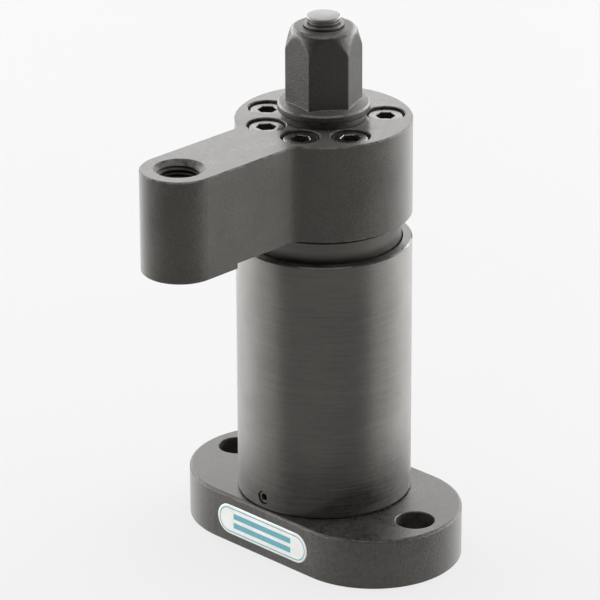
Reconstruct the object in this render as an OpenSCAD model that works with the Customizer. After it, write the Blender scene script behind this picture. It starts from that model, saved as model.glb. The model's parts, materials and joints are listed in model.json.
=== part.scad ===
// Swing clamp cylinder worked by a nut.
// A collar nut on a fixed spindle draws the arm down against a return spring, and the arm swings
// a quarter turn about the spindle so that a workpiece can be loaded from above.
// Frame: origin at the centre of the base's underside on the cylinder's axis, +Z up, the base long
// in X, and the arm along -Y while it is raised and open.

/* [Body] */
// Outside diameter of the tube and of the arm's hub
tube_d = 50; // [48:1:58]
// Thickness of the tube's wall
tube_wall = 3; // [2.6:0.1:3.6]
// Height of the tube above the base
tube_h = 77.5; // [74:0.5:110]

/* [Base] */
// Thickness of the base
base_t = 15; // [12:0.5:22]
// How far the base's flats stand out beyond the tube
base_lip = 0.5; // [0.4:0.1:5]
// Distance from the tube to the centre of a mounting hole
hole_offset = 11; // [9:0.5:16]
// Distance from the centre of a mounting hole to the end of the base
hole_edge = 9; // [8.5:0.5:14]
// Diameter of the mounting holes
hole_d = 11; // [9:0.5:12]
// Radius of the base's rounded top edge
base_round = 0.8; // [0.4:0.1:1.6]
// Length of the label on the base's front flat
label_l = 36; // [24:1:38]
// Height of the label
label_h = 9.2; // [6:0.2:9.8]

/* [Travel] */
// Pitch of the spindle's thread
thread_pitch = 1.75; // [1:0.25:2]
// Turns of the nut from open to clamped
nut_turns = 4; // [2:1:5]
// Angle that the arm swings through
swing_angle = 90; // [30:5:120]

/* [Arm] */
// Distance from the cylinder's axis to the clamping hole
arm_l = 56; // [45:1:90]
// Width of the arm, and diameter of its round tip
arm_w = 22; // [18:1:28]
// Height of the arm's hub
hub_h = 28.3; // [24:0.1:36]
// How far the pad under the tip stands down
tip_pad = 1.5; // [0.6:0.1:3]
// Thread diameter of the clamping hole
tip_thread_d = 12; // [8, 10, 12]
// Diameter of the countersinks at both ends of the clamping hole
tip_sink_d = 14.4; // [12.8:0.2:16]
// Radius of the inside corners between the arm and its hub
arm_fillet = 4; // [2:0.5:8]
// Width of the broken edges on arm, tube and sleeve
edge_break = 0.4; // [0.2:0.1:0.6]

/* [Arm screws] */
// Thread diameter of the cap screws that hold the arm to the sleeve
screw_d = 6; // [5:1:6]
// Distance from the hub's outside to the centre of a screw
screw_edge = 7.6; // [7.2:0.1:8.4]
// Length of a cap screw below its head
screw_l = 35; // [30:1:36]

/* [Nut] */
// Size of the hexagon across its flats
nut_af = 19; // [17:1:21]
// Height of the nut with its collar
nut_h = 24.7; // [20:0.1:30]
// Diameter of the collar
collar_d = 26; // [24:0.5:28]
// Diameter of the washer under the nut
washer_d = 23.8; // [22:0.2:26]
// Thickness of the washer under the nut
washer_t = 2; // [1:0.5:3]

/* [Spindle] */
// Diameter of the spindle, and of its thread
spindle_d = 12; // [11.5:0.5:12.5]
// Diameter of the spindle's head in the base
head_d = 22; // [20:1:24]
// Height that the spindle's end stands above the nut
spindle_end_h = 3.1; // [2.6:0.1:6]

/* [Return spring] */
// Diameter of the spring's wire
wire_d = 2.6; // [2:0.1:2.8]
// Mean diameter of the spring's coil
coil_d = 22.4; // [21:0.1:22.6]
// Working turns between the closed end turns
coil_turns = 7; // [5:1:9]

/* [Hidden] */

$fn = 96;

// Play of a running fit, and of a piece set firmly in another, at the radius
running = 0.05;
seated = 0.02;
// Room between moving pieces that pass each other without a fit
free_gap = 0.3;
// How far a cut runs past the face that it leaves
past = 1;

// Heights of the base and tube
tube_r = tube_d / 2;
bore_r = tube_r - tube_wall;
base_half_w = tube_r + base_lip;
base_half_l = tube_r + hole_offset + hole_edge;
base_flat_half = base_half_l - base_half_w;
hole_x = tube_r + hole_offset;
base_edge = 0.3;
hole_chamfer = 0.25;
spigot_h = 10;
spigot_z1 = base_t + spigot_h;
tube_z1 = base_t + tube_h;
tube_foot_chamfer = 0.5;

// Label on the front flat, at the middle of the base's height
label_t = 0.2;
label_z = base_t / 2;

// Screw that locks the tube to the base's spigot
set_d = 4;
set_height = 3.6;
set_recess = 0.4;
set_reach = 3;
set_z = base_t + set_height;
set_r1 = tube_r - set_recess;
set_r0 = bore_r - set_reach;
set_socket_af = 2;
set_socket_depth = 2;

// Wiper ring near the tube's mouth
wiper_wire_r = 0.8;
wiper_depth = 4.5;
wiper_z = tube_z1 - wiper_depth;
wiper_r = bore_r + running / 2 + wiper_wire_r;

// Travel, and the heights that follow from it
stroke = thread_pitch * nut_turns;
rim_gap = 0.5;
hub_z0 = tube_z1 + stroke + rim_gap;
hub_z1 = hub_z0 + hub_h;
washer_z0 = hub_z1 + seated;
nut_z0 = washer_z0 + washer_t + seated;
nut_z1 = nut_z0 + nut_h;
spindle_z1 = nut_z1 + spindle_end_h;

// Arm, cut in one height with a pad under its tip
tip_z0 = hub_z0 - tip_pad;
pad_start = arm_l - arm_w / 2;
tip_sink_w = (tip_sink_d - tip_thread_d) / 2;
spindle_room = 0.5;
arm_bore_d = spindle_d + 2 * spindle_room;
// The corner cylinders sink this far into the flanks that they blend, so the faces cross cleanly
blend_sink = 0.02;

// Cap screws, in three pairs about the arm's own line
screw_circle_r = tube_r - screw_edge;
screw_head_d = screw_d * 5 / 3;
screw_sink_room = 0.5;
screw_sink_d = screw_head_d + 2 * screw_sink_room;
screw_head_recess = 0.6;
screw_socket_af = screw_d * 5 / 6;
screw_socket_depth = screw_d / 2;
screw_seat_z = hub_z1 - screw_head_recess - screw_d;
screw_hole_room = 0.3;
tap_run = 2;
tapped_z0 = screw_seat_z - screw_l - tap_run;
// Angle of each screw from the arm's line, and how far its socket is turned
screw_places = [[-141, 8], [-69.5, 21], [-22.5, 47], [22.5, 33], [69.5, 12], [141, 52]];

// Sleeve that carries the arm, with the spring inside it
sleeve_d = tube_d - 2 * tube_wall - 2 * running;
sleeve_foot_gap = 1.5;
sleeve_z0 = spigot_z1 + stroke + sleeve_foot_gap;
register_d = 24;
register_h = 3;
web_t = 20;
spring_room = 1.5;
chamber_d = coil_d + wire_d + 2 * spring_room;
chamber_z1 = hub_z0 - web_t;
bush_d = 16;
spring_washer_t = 2;
spring_washer_z0 = chamber_z1 - seated - spring_washer_t;

// Pin that stands in the base and runs in a curved slot in the sleeve, so it stops the swing
pin_d = 4;
pin_circle_r = (chamber_d + sleeve_d) / 4;
pin_set_depth = 3;
pin_engaged = 12;
slot_head_gap = 1;
pin_z0 = base_t - pin_set_depth;
pin_z1 = sleeve_z0 + pin_engaged;
slot_z1 = pin_z1 + stroke + slot_head_gap;

// Spindle, whose head is let into the base from below and keyed by a pin across the joint
head_z0 = 0.5;
head_h = 6.5;
head_z1 = head_z0 + head_h;
key_pin_d = 3;
key_angle = 225;
// The thread is drawn as a plain bar at its pitch diameter
thread_mean_d = spindle_d - 0.6495 * thread_pitch;
thread_run = 6;
thread_z0 = nut_z0 - stroke - thread_run;
end_d = 9.75;
end_disc_h = 0.95;
neck_d = 8.8;
end_chamfer = 0.4;

// Ring in the spindle's neck, which stops the nut at the top
ring_d = 11.2;
ring_t = 1;
ring_z0 = nut_z1 + running;
ring_mouth = 40;
ring_mouth_angle = 135;

// Nut
nut_turned = -7;
nut_corner_r = nut_af / 2 / cos(30);
nut_top_inset = 0.4;
nut_top_d = nut_af - 2 * nut_top_inset;
nut_taper_h = 5.3;
nut_bore_d = thread_mean_d + 2 * running;
nut_sink_w = 0.3;
collar_h = 2.5;
collar_edge = 0.5;
collar_slope = 0.8;

// Spring, between the base's spigot and the washer under the sleeve's web
spring_z0 = spigot_z1 + seated + wire_d / 2;
spring_z1 = spring_washer_z0 - seated - wire_d / 2;
closed_gap = 0.15;
closed_rise = wire_d + closed_gap;
coil_sides = 10;
coil_steps = 28;
all_turns = coil_turns + 2;

// A round bar about Z with both rims broken
module bar(d, z0, z1, rim = edge_break) {
    rotate_extrude()
        polygon([
            [0, z0], [d / 2 - rim, z0], [d / 2, z0 + rim],
            [d / 2, z1 - rim], [d / 2 - rim, z1], [0, z1]
        ]);
}

// A straight round cut about Z
module cut(d, z0, z1) {
    translate([0, 0, z0])
        cylinder(d = d, h = z1 - z0);
}

// A cut that breaks the upper rim of a hole of diameter d by the width c
module rim_cut(d, z, c) {
    translate([0, 0, z - c])
        cylinder(d1 = d, d2 = d + 4 * c, h = 2 * c);
}

// A hexagon bar about Z, measured across its flats
module hex_bar(af, z0, z1, turned = 0) {
    translate([0, 0, z0])
        rotate(turned)
            cylinder(d = af / cos(30), h = z1 - z0, $fn = 6);
}

// A flat ring about Z with broken rims
module flat_ring(d, hole, z0, z1, rim) {
    difference() {
        bar(d, z0, z1, rim);
        cut(hole, z0 - past, z1 + past);
    }
}

// The children, once at each mounting hole
module at_holes() {
    for (side = [-1, 1])
        translate([side * hole_x, 0, 0])
            children();
}

// The children, once on the stop pin's axis
module at_pin() {
    translate([pin_circle_r, 0, 0])
        children();
}

// The children, once on the axis of the spindle's key pin
module at_key() {
    rotate(key_angle)
        translate([head_d / 2, 0, 0])
            children();
}

// The children at a screw's place, with its socket's turn in $turned
module at_screws() {
    for (place = screw_places)
        rotate(place[0] - 90)
            translate([screw_circle_r, 0, 0]) {
                $turned = place[1];
                children();
            }
}

// Half of the base's upright section, from its middle out to the rounded edge
module base_section() {
    square_top = base_t - base_round;
    polygon([
        [0, 0], [base_half_w - base_edge, 0], [base_half_w, base_edge],
        [base_half_w, square_top], [base_half_w - base_round, square_top],
        [base_half_w - base_round, base_t], [0, base_t]
    ]);
    intersection() {
        translate([base_half_w - base_round, square_top])
            circle(r = base_round);
        translate([base_half_w - base_round, square_top])
            square(base_round);
    }
}

// The base's plate, a section run straight between two turned ends
module base_plate() {
    for (side = [-1, 1])
        translate([side * base_flat_half, 0, 0])
            rotate(-90 * side)
                rotate_extrude(angle = 180)
                    base_section();
    for (side = [-1, 1])
        rotate([90, 0, 90 * side])
            linear_extrude(height = 2 * base_flat_half, center = true)
                base_section();
}

module base_flange() {
    color([0.27, 0.27, 0.28])
        difference() {
            union() {
                base_plate();
                bar(2 * (bore_r - seated), base_t - past, spigot_z1);
            }
            at_holes() {
                cut(hole_d, -past, base_t + past);
                rim_cut(hole_d, base_t, hole_chamfer);
            }
            cut(spindle_d + 2 * seated, -past, spigot_z1 + past);
            cut(head_d + 2 * seated, -past, head_z1);
            at_key()
                cut(key_pin_d + 2 * seated, -past, head_z1);
            at_pin()
                cut(pin_d + 2 * seated, pin_z0, spigot_z1 + past);
            translate([0, 0, set_z])
                rotate([90, 0, 0])
                    cut(set_d + 2 * seated, set_r0 - seated, tube_r);
        }
}

// Outline of the label, a bar with round ends
module label_outline() {
    straight = label_l - label_h;
    square([straight, label_h], center = true);
    for (side = [-1, 1])
        translate([side * straight / 2, 0])
            circle(d = label_h);
}

module label_plate() {
    color([0.93, 0.93, 0.91])
        translate([0, -base_half_w, label_z])
            rotate([90, 0, 0])
                linear_extrude(height = label_t)
                    label_outline();
}

module body_tube() {
    color([0.30, 0.30, 0.31])
        difference() {
            rotate_extrude()
                polygon([
                    [bore_r, base_t], [tube_r - tube_foot_chamfer, base_t],
                    [tube_r, base_t + tube_foot_chamfer],
                    [tube_r, tube_z1 - edge_break], [tube_r - edge_break, tube_z1],
                    [bore_r + edge_break, tube_z1], [bore_r, tube_z1 - edge_break]
                ]);
            translate([0, 0, wiper_z])
                rotate_extrude()
                    translate([bore_r - past, -wiper_wire_r - seated])
                        square([past + 2 * wiper_wire_r + running, 2 * (wiper_wire_r + seated)]);
            translate([0, 0, set_z])
                rotate([90, 0, 0])
                    cut(set_d + 2 * seated, 0, tube_r + past);
        }
}

module tube_set_screw() {
    color([0.20, 0.20, 0.21])
        translate([0, 0, set_z])
            rotate([90, 0, 0])
                difference() {
                    bar(set_d, set_r0, set_r1, edge_break);
                    hex_bar(set_socket_af, set_r1 - set_socket_depth, set_r1 + past);
                }
}

module wiper_ring() {
    color([0.07, 0.07, 0.07])
        translate([0, 0, wiper_z])
            rotate_extrude()
                translate([wiper_r, 0])
                    circle(r = wiper_wire_r);
}

module spindle() {
    neck_z0 = nut_z1;
    disc_z0 = spindle_z1 - end_disc_h;
    color([0.52, 0.52, 0.51])
        difference() {
            union() {
                bar(head_d, head_z0, head_z1);
                cut(spindle_d, head_z1 - past, thread_z0);
                cut(thread_mean_d, thread_z0 - past, neck_z0);
                cut(neck_d, neck_z0 - past, disc_z0 + end_disc_h / 2);
                bar(end_d, disc_z0, spindle_z1, end_chamfer);
            }
            at_key()
                cut(key_pin_d + 2 * seated, head_z0 - past, head_z1);
        }
}

module spindle_key_pin() {
    color([0.60, 0.60, 0.60])
        at_key()
            bar(key_pin_d, head_z0, head_z1 - seated, base_edge);
}

module stop_pin() {
    color([0.60, 0.60, 0.60])
        at_pin()
            bar(pin_d, pin_z0 + seated, pin_z1, edge_break);
}

// Height of the wire's centre after a number of turns, with one closed turn at each end
function wire_z(turn) =
    let (open_rise = spring_z1 - spring_z0 - 2 * closed_rise)
    spring_z0
    + closed_rise * min(turn, 1)
    + open_rise * max(0, min(1, (turn - 1) / coil_turns))
    + closed_rise * max(0, turn - 1 - coil_turns);

// A point on the wire's skin, at a number of turns and an angle round the wire
function wire_point(turn, around) =
    let (reach = coil_d / 2 + wire_d / 2 * cos(around))
    [reach * cos(360 * turn), reach * sin(360 * turn), wire_z(turn) + wire_d / 2 * sin(around)];

module return_spring() {
    rings = coil_steps * all_turns;
    points = [
        for (i = [0:rings], k = [0:coil_sides - 1])
            wire_point(i / coil_steps, 360 * (k + 0.5) / coil_sides)
    ];
    walls = [
        for (i = [0:rings - 1], k = [0:coil_sides - 1])
            let (next = (k + 1) % coil_sides, here = i * coil_sides, there = here + coil_sides)
            [here + k, here + next, there + next, there + k]
    ];
    start_cap = [for (k = [coil_sides - 1:-1:0]) k];
    end_cap = [for (k = [0:coil_sides - 1]) rings * coil_sides + k];
    color([0.45, 0.45, 0.46])
        polyhedron(points = points, faces = concat(walls, [start_cap, end_cap]));
}

module spring_washer() {
    color([0.62, 0.50, 0.30])
        flat_ring(chamber_d - 2 * spindle_room, arm_bore_d,
                  spring_washer_z0, spring_washer_z0 + spring_washer_t, base_edge);
}

// The curved slot's run, a ring sector with round ends that clears the stop pin on every side
module stop_slot() {
    slot_w = pin_d + 2 * free_gap;
    slot_h = slot_z1 - sleeve_z0 + past;
    translate([0, 0, sleeve_z0 - past]) {
        rotate_extrude(angle = swing_angle)
            translate([pin_circle_r - slot_w / 2, 0])
                square([slot_w, slot_h]);
        for (end = [0, swing_angle])
            rotate(end)
                translate([pin_circle_r, 0, 0])
                    cylinder(d = slot_w, h = slot_h);
    }
}

module swing_sleeve() {
    color([0.36, 0.36, 0.37])
        difference() {
            union() {
                bar(sleeve_d, sleeve_z0, hub_z0);
                bar(register_d, hub_z0 - past, hub_z0 + register_h);
            }
            cut(chamber_d, sleeve_z0 - past, chamber_z1);
            cut(bush_d + 2 * seated, chamber_z1 - past, hub_z0 + register_h + past);
            at_screws()
                cut(screw_d + 2 * seated, tapped_z0, hub_z0 + past);
            stop_slot();
        }
}

module guide_bush() {
    color([0.62, 0.50, 0.30])
        flat_ring(bush_d, spindle_d + 2 * running, chamber_z1, hub_z0 + register_h, base_edge);
}

// A straight stretch of the arm, a section with broken corners run between two distances from the axis
module arm_beam(start, end, z0, z1) {
    flank = arm_w / 2;
    shoulder = flank - edge_break;
    translate([0, -start, 0])
        rotate([90, 0, 0])
            linear_extrude(height = end - start)
                polygon([
                    [-shoulder, z0], [shoulder, z0], [flank, z0 + edge_break], [flank, z1 - edge_break],
                    [shoulder, z1], [-shoulder, z1], [-flank, z1 - edge_break], [-flank, z0 + edge_break]
                ]);
}

// The arm's round tip, half a bar
module arm_tip(z0, z1) {
    shoulder = arm_w / 2 - edge_break;
    translate([0, -arm_l, 0])
        rotate(180)
            rotate_extrude(angle = 180)
                polygon([
                    [0, z0], [shoulder, z0], [arm_w / 2, z0 + edge_break],
                    [arm_w / 2, z1 - edge_break], [shoulder, z1], [0, z1]
                ]);
}

// The web that fills the corner between flank and hub, hollowed to the corner's radius
module arm_corner(z0, z1) {
    centre_x = arm_w / 2 + arm_fillet - blend_sink;
    reach = tube_r + arm_fillet - blend_sink;
    centre_y = -sqrt(reach * reach - centre_x * centre_x);
    hollow_d = 2 * arm_fillet;
    difference() {
        translate([0, 0, z0])
            linear_extrude(height = z1 - z0)
                polygon([[0, 0], [0, centre_y], [centre_x, centre_y], [centre_x, centre_y] * tube_r / reach]);
        translate([centre_x, centre_y, 0]) {
            cut(hollow_d, z0 - past, z1 + past);
            rim_cut(hollow_d, z1, edge_break);
            mirror([0, 0, 1])
                rim_cut(hollow_d, -z0, edge_break);
        }
    }
}

module swing_arm() {
    color([0.28, 0.28, 0.29])
        difference() {
            union() {
                bar(tube_d, hub_z0, hub_z1);
                arm_beam(0, pad_start, hub_z0, hub_z1);
                arm_beam(pad_start, arm_l, tip_z0, hub_z1);
                arm_tip(tip_z0, hub_z1);
                arm_corner(hub_z0, hub_z1);
                mirror([1, 0, 0])
                    arm_corner(hub_z0, hub_z1);
            }
            cut(arm_bore_d, hub_z0 - past, hub_z1 + past);
            cut(register_d + 2 * seated, hub_z0 - past, hub_z0 + register_h + seated);
            at_screws() {
                cut(screw_d + 2 * screw_hole_room, hub_z0 - past, screw_seat_z + past);
                cut(screw_sink_d, screw_seat_z, hub_z1 + past);
                rim_cut(screw_sink_d, hub_z1, hole_chamfer);
            }
            translate([0, -arm_l, 0]) {
                cut(tip_thread_d, tip_z0 - past, hub_z1 + past);
                rim_cut(tip_thread_d, hub_z1, tip_sink_w);
                mirror([0, 0, 1])
                    rim_cut(tip_thread_d, -tip_z0, tip_sink_w);
            }
        }
}

module arm_screws() {
    color([0.24, 0.24, 0.25])
        at_screws()
            difference() {
                union() {
                    bar(screw_d, screw_seat_z - screw_l, screw_seat_z + past);
                    bar(screw_head_d, screw_seat_z, screw_seat_z + screw_d);
                }
                hex_bar(screw_socket_af, screw_seat_z + screw_d - screw_socket_depth,
                        screw_seat_z + screw_d + past, $turned);
            }
}

module thrust_washer() {
    color([0.40, 0.40, 0.41])
        flat_ring(washer_d, arm_bore_d, washer_z0, washer_z0 + washer_t, base_edge);
}

module hex_nut() {
    collar_r = collar_d / 2;
    collar_z1 = nut_z0 + collar_h;
    round_r = nut_corner_r + past;
    color([0.22, 0.22, 0.23])
        difference() {
            union() {
                intersection() {
                    hex_bar(nut_af, nut_z0 + collar_edge, nut_z1, nut_turned);
                    rotate_extrude()
                        polygon([
                            [0, nut_z0], [round_r, nut_z0],
                            [round_r, nut_z1 - nut_taper_h * (1 + past / (nut_corner_r - nut_top_d / 2))],
                            [nut_top_d / 2, nut_z1], [0, nut_z1]
                        ]);
                }
                rotate_extrude()
                    polygon([
                        [0, nut_z0], [collar_r - collar_edge, nut_z0], [collar_r, nut_z0 + collar_edge],
                        [collar_r, collar_z1 - collar_edge], [collar_r - collar_edge, collar_z1],
                        [nut_af / 2 - past, collar_z1 + collar_slope], [0, collar_z1 + collar_slope]
                    ]);
            }
            cut(nut_bore_d, nut_z0 - past, nut_z1 + past);
            rim_cut(nut_bore_d, nut_z1, nut_sink_w);
        }
}

module retaining_ring() {
    inner_r = neck_d / 2 + seated;
    color([0.50, 0.50, 0.50])
        translate([0, 0, ring_z0])
            rotate(ring_mouth_angle + ring_mouth / 2)
                rotate_extrude(angle = 360 - ring_mouth)
                    translate([inner_r, 0])
                        square([ring_d / 2 - inner_r, ring_t]);
}

base_flange();
label_plate();
body_tube();
tube_set_screw();
wiper_ring();
spindle();
spindle_key_pin();
stop_pin();
return_spring();
spring_washer();
swing_sleeve();
guide_bush();
swing_arm();
arm_screws();
thrust_washer();
hex_nut();
retaining_ring();
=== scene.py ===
"""Looks of a swing clamp cylinder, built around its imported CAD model.

The clamp stands on a long flange. A collar nut on a fixed spindle draws a swinging arm down against a spring.
Lengths are in millimetres until a mesh is made, and every mesh is in metres in the CAD model's own frame.
"""
import json
import logging
from dataclasses import dataclass, field
from enum import Enum
from typing import Any, Optional, Sequence, Union

import bmesh
import bpy
import numpy as np
from mathutils import Matrix, Vector


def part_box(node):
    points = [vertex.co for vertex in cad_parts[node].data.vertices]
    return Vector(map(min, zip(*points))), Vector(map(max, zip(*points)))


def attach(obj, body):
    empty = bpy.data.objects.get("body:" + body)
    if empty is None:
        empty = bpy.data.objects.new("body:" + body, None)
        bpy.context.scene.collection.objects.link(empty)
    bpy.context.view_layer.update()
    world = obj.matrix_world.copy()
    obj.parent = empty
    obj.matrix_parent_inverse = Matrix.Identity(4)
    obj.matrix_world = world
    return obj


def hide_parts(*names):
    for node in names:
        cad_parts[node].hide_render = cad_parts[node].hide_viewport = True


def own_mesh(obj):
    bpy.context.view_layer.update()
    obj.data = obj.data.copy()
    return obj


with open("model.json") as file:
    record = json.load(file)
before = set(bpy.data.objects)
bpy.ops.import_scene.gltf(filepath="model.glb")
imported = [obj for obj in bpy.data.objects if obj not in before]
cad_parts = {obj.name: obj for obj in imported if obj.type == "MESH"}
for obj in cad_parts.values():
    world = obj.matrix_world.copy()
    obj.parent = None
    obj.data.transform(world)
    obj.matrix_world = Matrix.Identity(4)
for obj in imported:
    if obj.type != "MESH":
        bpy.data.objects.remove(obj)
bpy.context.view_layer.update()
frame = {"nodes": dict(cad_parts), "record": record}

MM = 0.001
SHARP_EDGE = np.radians(32.0)
DOUBLES = 2e-7
# How far a size may be off in a test, and what keeps the arcs at straight corners finite.
SLACK = 0.01
STRAIGHT, TINY, SAME_POINT = 0.999999, 1e-9, 1e-6
LEVEL = (1.0, 1.0, 0.0)

# Smooth steps as (start, end). By how far the normal points straight out from the axis: turned walls.
WALL_RISE = (0.997, 0.999)
# By how much the view grazes the surface: the coat at the sides of upright faces.
GRAZE_RISE = (0.25, 0.75)
# By how level a face lies: edges that are blunt and, narrower, edges that are worn and painted with a highlight.
BLUNT_RISE, BLUNT_FALL = (0.12, 0.5), (0.98, 0.88)
WORN_HIGHLIGHT_RISE, WORN_HIGHLIGHT_FALL = (0.42, 0.6), (0.97, 0.86)
# By mixed noise: the skin's tone, the patches of wear and painted edge highlight, and the tone of bare metal.
TONE_RISE, PATCH_RISE, METAL_RISE = (0.36, 0.64), (0.36, 0.6), (0.32, 0.68)

# Detail of noise: clouds and blots, and plain grain.
BLOT_DETAIL, GRAIN_DETAIL = 3.0, 1.0
# Settings of nodes: an even weight by view, and an anisotropy drawn out across the tangent.
EVEN_BLEND, QUARTER_TURN = 0.5, 0.25

Colour = tuple[float, float, float]
Number = Union[float, "Wire"]

log = logging.getLogger("swing_clamp")


class Body(Enum):
    """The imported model's bodies that new pieces ride on."""

    BASE = "base"
    NUT = "nut"
    ARM = "arm"


class Slot(Enum):
    """The record's material slots, passed along with new pieces."""

    OXIDE = "oxide_steel"
    SCREW = "screw_steel"
    BRIGHT = "bright_steel"
    SPRING = "spring_steel"
    LABEL = "label_film"


class Lay(Enum):
    """How a tool left its marks on a metal surface."""

    RINGS = "rings about the upright axis"
    PLAIN = "no direction"


class Wire:
    """An output socket of a node tree that takes part in Python arithmetic.

    Each operator adds one Math node, so ``1 - mask * 0.3`` reads as it is meant.
    """

    def __init__(self, graph: "Graph", socket: bpy.types.NodeSocket) -> None:
        """Keeps the socket and the graph that it belongs to."""
        self.graph = graph
        self.socket = socket

    def _maths(self, operation: str, *values: Number) -> "Wire":
        """The result of a Math node of one or two values."""
        return self.graph.add("ShaderNodeMath", {"operation": operation}, dict(enumerate(values)))

    def __add__(self, other: Number) -> "Wire":
        """The sum."""
        return self._maths("ADD", self, other)

    def __sub__(self, other: Number) -> "Wire":
        """The difference."""
        return self._maths("SUBTRACT", self, other)

    def __rsub__(self, other: Number) -> "Wire":
        """The difference, with a number on the left."""
        return self._maths("SUBTRACT", other, self)

    def __mul__(self, other: Number) -> "Wire":
        """The product."""
        return self._maths("MULTIPLY", self, other)

    __radd__, __rmul__ = __add__, __mul__

    def __abs__(self) -> "Wire":
        """The size without its sign."""
        return self._maths("ABSOLUTE", self)

    def greater(self, other: Number) -> "Wire":
        """The larger of two values."""
        return self._maths("MAXIMUM", self, other)

    def about(self, share: float) -> "Wire":
        """Noise about 0.5 made a change about 0, times a share."""
        return (self - 0.5) * share

    def rise(self, low: float, high: float) -> "Wire":
        """A smooth step: 0 up to low, 1 from high on and an S between; with high below low it steps down."""
        return self.graph.add("ShaderNodeMapRange", {"interpolation_type": "SMOOTHSTEP"},
                              {"Value": self, "From Min": low, "From Max": high})


class Graph:
    """A node tree with one method that adds any node, and short forms for the nodes that finishes share."""

    def __init__(self, tree: bpy.types.NodeTree) -> None:
        """Empties the tree and keeps it."""
        self.tree = tree
        self.tree.nodes.clear()

    def add(self, kind: str, settings: Optional[dict[str, Any]] = None,
            sockets: Optional[dict[Union[str, int], Any]] = None, out: Union[str, int, None] = 0) -> Optional[Wire]:
        """Adds a node.

        Args:
            kind: the node's type.
            settings: its properties, set first.
            sockets: a value or a wire for each input, by name or index.
            out: the output that is wanted, or None where the node ends the tree.

        Returns:
            The wanted output.
        """
        node = self.tree.nodes.new(kind)
        for name, value in (settings or {}).items():
            setattr(node, name, value)
        for key, value in (sockets or {}).items():
            if isinstance(value, Wire):
                self.tree.links.new(value.socket, node.inputs[key])
            else:
                node.inputs[key].default_value = value
        return None if out is None else Wire(self, node.outputs[out])

    def place(self) -> Wire:
        """The surface's place in the object, in metres."""
        return self.add("ShaderNodeTexCoord", out="Object")

    def vector(self, operation: str, *vectors: Union[Wire, Colour], out: str = "Vector") -> Wire:
        """The result of a Vector Math node of one or two vectors."""
        return self.add("ShaderNodeVectorMath", {"operation": operation}, dict(enumerate(vectors)), out)

    def scaled(self, vector: Wire, factor: Number) -> Wire:
        """A vector or colour times a number."""
        return self.add("ShaderNodeVectorMath", {"operation": "SCALE"}, {0: vector, "Scale": factor})

    def axis(self, vector: Wire, name: str) -> Wire:
        """One axis of a vector, by its name X, Y or Z."""
        return self.add("ShaderNodeSeparateXYZ", {}, {0: vector}, name)

    def noise(self, place: Wire, size: float, detail: float = 2.0) -> Wire:
        """Cloudy noise about 0.5, with blots of a size in millimetres and finer layers by its detail."""
        return self.add("ShaderNodeTexNoise", {}, {"Vector": place, "Scale": 1 / (size * MM), "Detail": detail}, "Fac")

    def reach(self, place: Wire) -> Wire:
        """Distance from the upright axis, in metres."""
        return self.vector("LENGTH", self.vector("MULTIPLY", place, LEVEL), out="Value")

    def rings(self, place: Wire, size: float, detail: float = 2.0) -> Wire:
        """Turning marks: noise about 0.5 of height plus distance from the axis, so it rings tubes and flat faces."""
        along = self.reach(place) + self.axis(place, "Z")
        return self.add("ShaderNodeTexNoise", {"noise_dimensions": "1D"},
                        {"W": along, "Scale": 1 / (size * MM), "Detail": detail}, "Fac")

    def streaks(self, place: Wire, size: float, length: float) -> Wire:
        """Broken turning marks: noise about 0.5 drawn out level, by the height and length of a mark in millimetres."""
        share = size / length
        return self.noise(self.vector("MULTIPLY", place, (share, share, 1.0)), size)

    def slope(self) -> Wire:
        """How level a face lies: 0 on upright faces, 0.7 on broken edges and 1 on level faces."""
        normal = self.add("ShaderNodeNewGeometry", out="Normal")
        return abs(self.axis(normal, "Z"))

    def mix(self, first: Union[Colour, Wire], second: Union[Colour, Wire], share: Number) -> Wire:
        """Two colours mixed: the first where share is 0, the second where it is 1."""
        pair = [value if isinstance(value, Wire) else (*value, 1.0) for value in (first, second)]
        return self.add("ShaderNodeMix", {"data_type": "RGBA"}, {0: share, 6: pair[0], 7: pair[1]}, 2)

    def turned(self, place: Wire) -> Wire:
        """The normal of a turned piece, in which no seam shows.

        On upright walls it points straight out from the axis or straight to it, elsewhere it is the surface's own.

        Args:
            place: where on the piece.

        Returns:
            The normal.
        """
        own = self.add("ShaderNodeTexCoord", out="Normal")
        outward = self.vector("NORMALIZE", self.vector("MULTIPLY", place, LEVEL))
        along = self.vector("DOT_PRODUCT", own, outward, out="Value")
        values = {0: abs(along).rise(*WALL_RISE), 4: own, 5: self.scaled(outward, along)}
        normal = self.add("ShaderNodeMix", {"data_type": "VECTOR"}, values, 1)
        return self.add("ShaderNodeVectorTransform", {"vector_type": "NORMAL", "convert_from": "OBJECT",
                                                      "convert_to": "WORLD"}, {0: normal})

    def facing(self) -> Wire:
        """0 where a surface is seen straight on, up to 1 where the view grazes it."""
        return self.add("ShaderNodeLayerWeight", {}, {"Blend": EVEN_BLEND}, "Facing")

    def bump(self, height: Wire, depth: float, strength: float, normal: Optional[Wire] = None) -> Wire:
        """A bumped normal.

        Args:
            height: the relief, about 0 to 1.
            depth: how deep a relief of 1 is, in millimetres.
            strength: how much of it shows.
            normal: the normal that is bumped, or None for the surface's own.

        Returns:
            The normal.
        """
        sockets = {"Strength": strength, "Distance": depth * MM, "Height": height}
        if normal is not None:
            sockets["Normal"] = normal
        return self.add("ShaderNodeBump", {}, sockets, "Normal")

    def surface(self, sockets: dict[str, Any]) -> Wire:
        """A Principled shader whose sockets are given."""
        return self.add("ShaderNodeBsdfPrincipled", {}, sockets, "BSDF")

    def end(self, shader: Wire) -> None:
        """Makes a shader the material's surface."""
        self.add("ShaderNodeOutputMaterial", {}, {"Surface": shader}, None)

    def seen(self) -> Wire:
        """1 for what the camera sees, straight or by a glossy or clear surface, and 0 for what lights a surface.

        Returns:
            The value.
        """
        rays = ("Is Camera Ray", "Is Glossy Ray", "Is Transmission Ray")
        camera, glossy, clear = [self.add("ShaderNodeLightPath", out=ray) for ray in rays]
        return camera.greater(glossy).greater(clear)


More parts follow.
